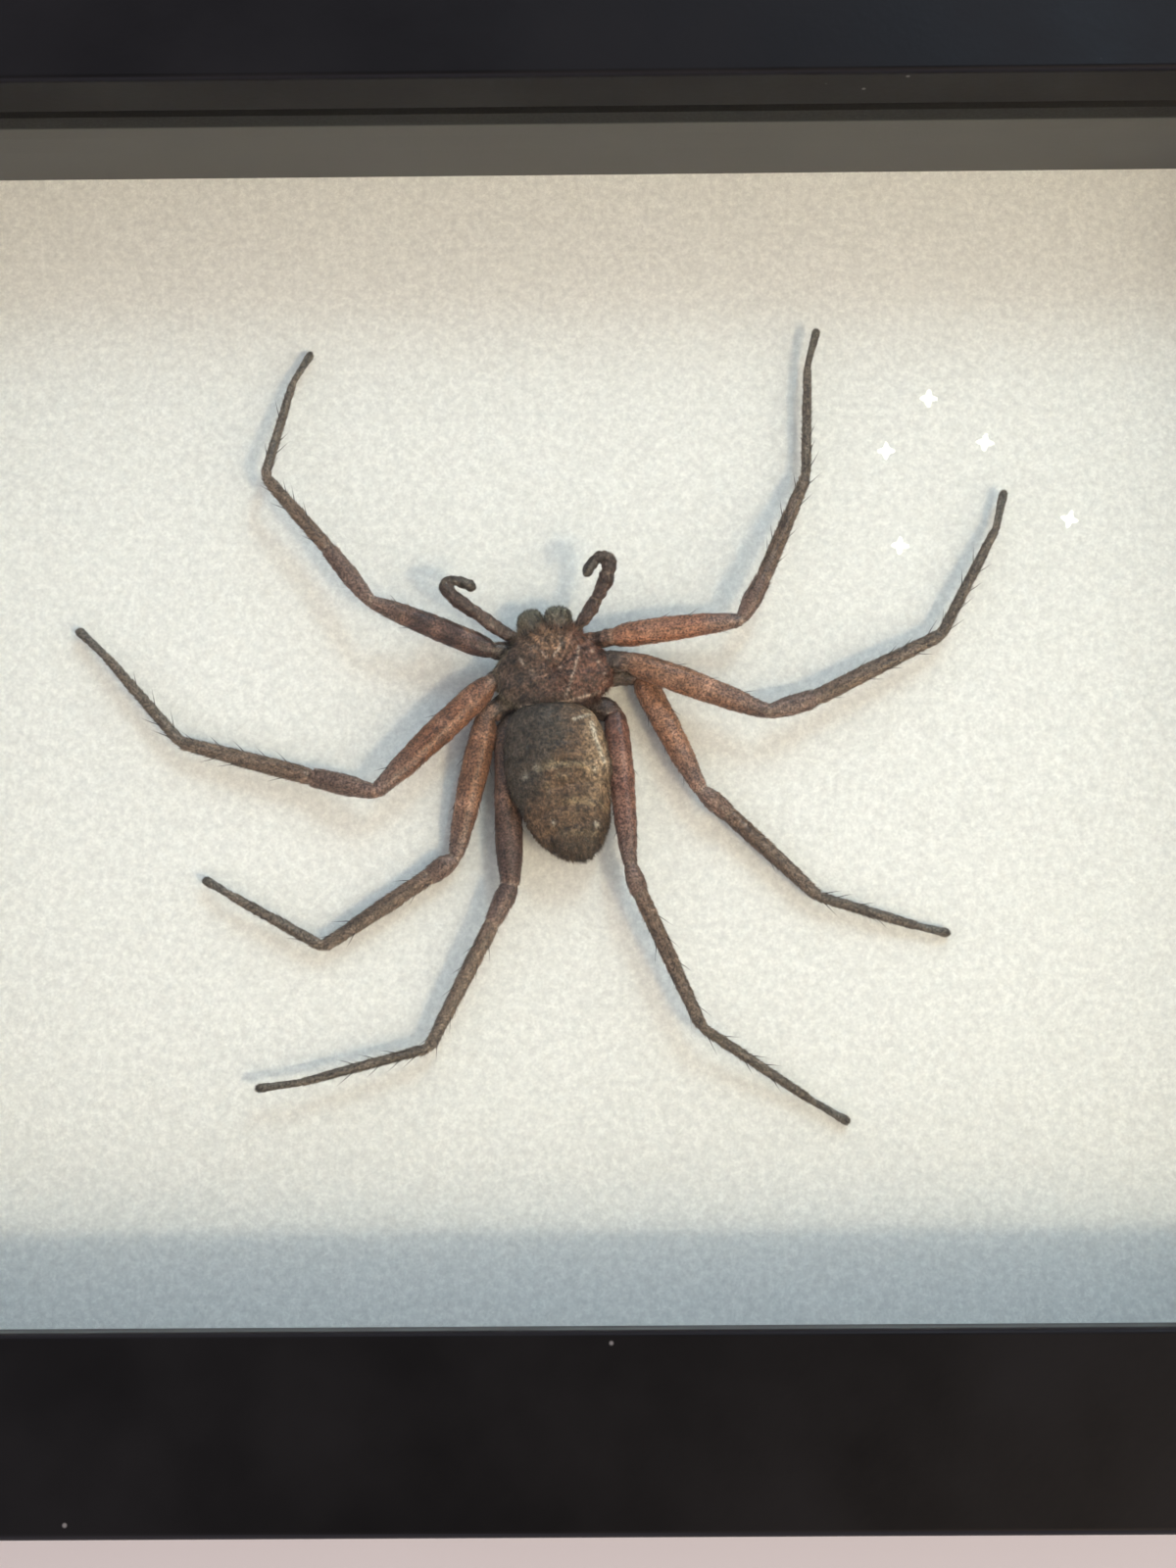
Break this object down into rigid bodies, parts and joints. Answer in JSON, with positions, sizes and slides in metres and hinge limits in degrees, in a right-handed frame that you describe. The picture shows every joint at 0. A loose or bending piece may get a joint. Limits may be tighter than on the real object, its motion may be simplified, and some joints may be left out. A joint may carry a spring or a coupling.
{
  "type": "framed huntsman spider",
  "caption": "Large dried huntsman spider, legs spread, fixed on a white board behind glass in a deep black shadow-box frame, for display on a wall or a table.",
  "frame": {"origin": "centre of the frame's rear face, where it lies on a table", "axes": "+X along the long rails towards the specimen's right side, +Y to the top rail, +Z from the back out through the glass"},
  "size_m": [0.231, 0.181, 0.038],
  "materials": {
    "black_lacquer": "satin black lacquer on wood",
    "dark_board": "matte charcoal facing",
    "mount_board": "matte off-white, fine tooth",
    "hardboard": "plain pressed fibre",
    "clear_glass": "clear, polished",
    "plated_steel": "zinc plated",
    "shield_cuticle": "dry cuticle with grey down",
    "jaw_cuticle": "dry cuticle, thick dark hair",
    "abdomen_cuticle": "dry wrinkled skin with olive down",
    "leg_cuticle": "satin reddish brown cuticle with down",
    "glue": "dried clear glue, yellowish"
  },
  "bodies": {
    "root": {"rail_top": "black_lacquer", "rail_bottom": "black_lacquer", "rail_left": "black_lacquer", "rail_right": "black_lacquer", "spacer_top": "dark_board", "spacer_bottom": "dark_board", "spacer_left": "dark_board", "spacer_right": "dark_board", "glass": "clear_glass", "display_board": "mount_board", "back_panel": "hardboard", "tab_top_left": "plated_steel", "tab_top_right": "plated_steel", "tab_bottom_left": "plated_steel", "tab_bottom_right": "plated_steel", "tab_left": "plated_steel", "tab_right": "plated_steel", "sawtooth_hanger": "plated_steel", "hanger_nail_left": "plated_steel", "hanger_nail_right": "plated_steel", "cephalothorax": "shield_cuticle", "abdomen": "abdomen_cuticle", "chelicera_left": "jaw_cuticle", "chelicera_right": "jaw_cuticle", "palp_left": "leg_cuticle", "palp_right": "leg_cuticle", "leg_left_1": "leg_cuticle", "leg_left_2": "leg_cuticle", "leg_left_3": "leg_cuticle", "leg_left_4": "leg_cuticle", "leg_right_1": "leg_cuticle", "leg_right_2": "leg_cuticle", "leg_right_3": "leg_cuticle", "leg_right_4": "leg_cuticle", "glue_dab": "glue"}
  },
  "joints": []
}
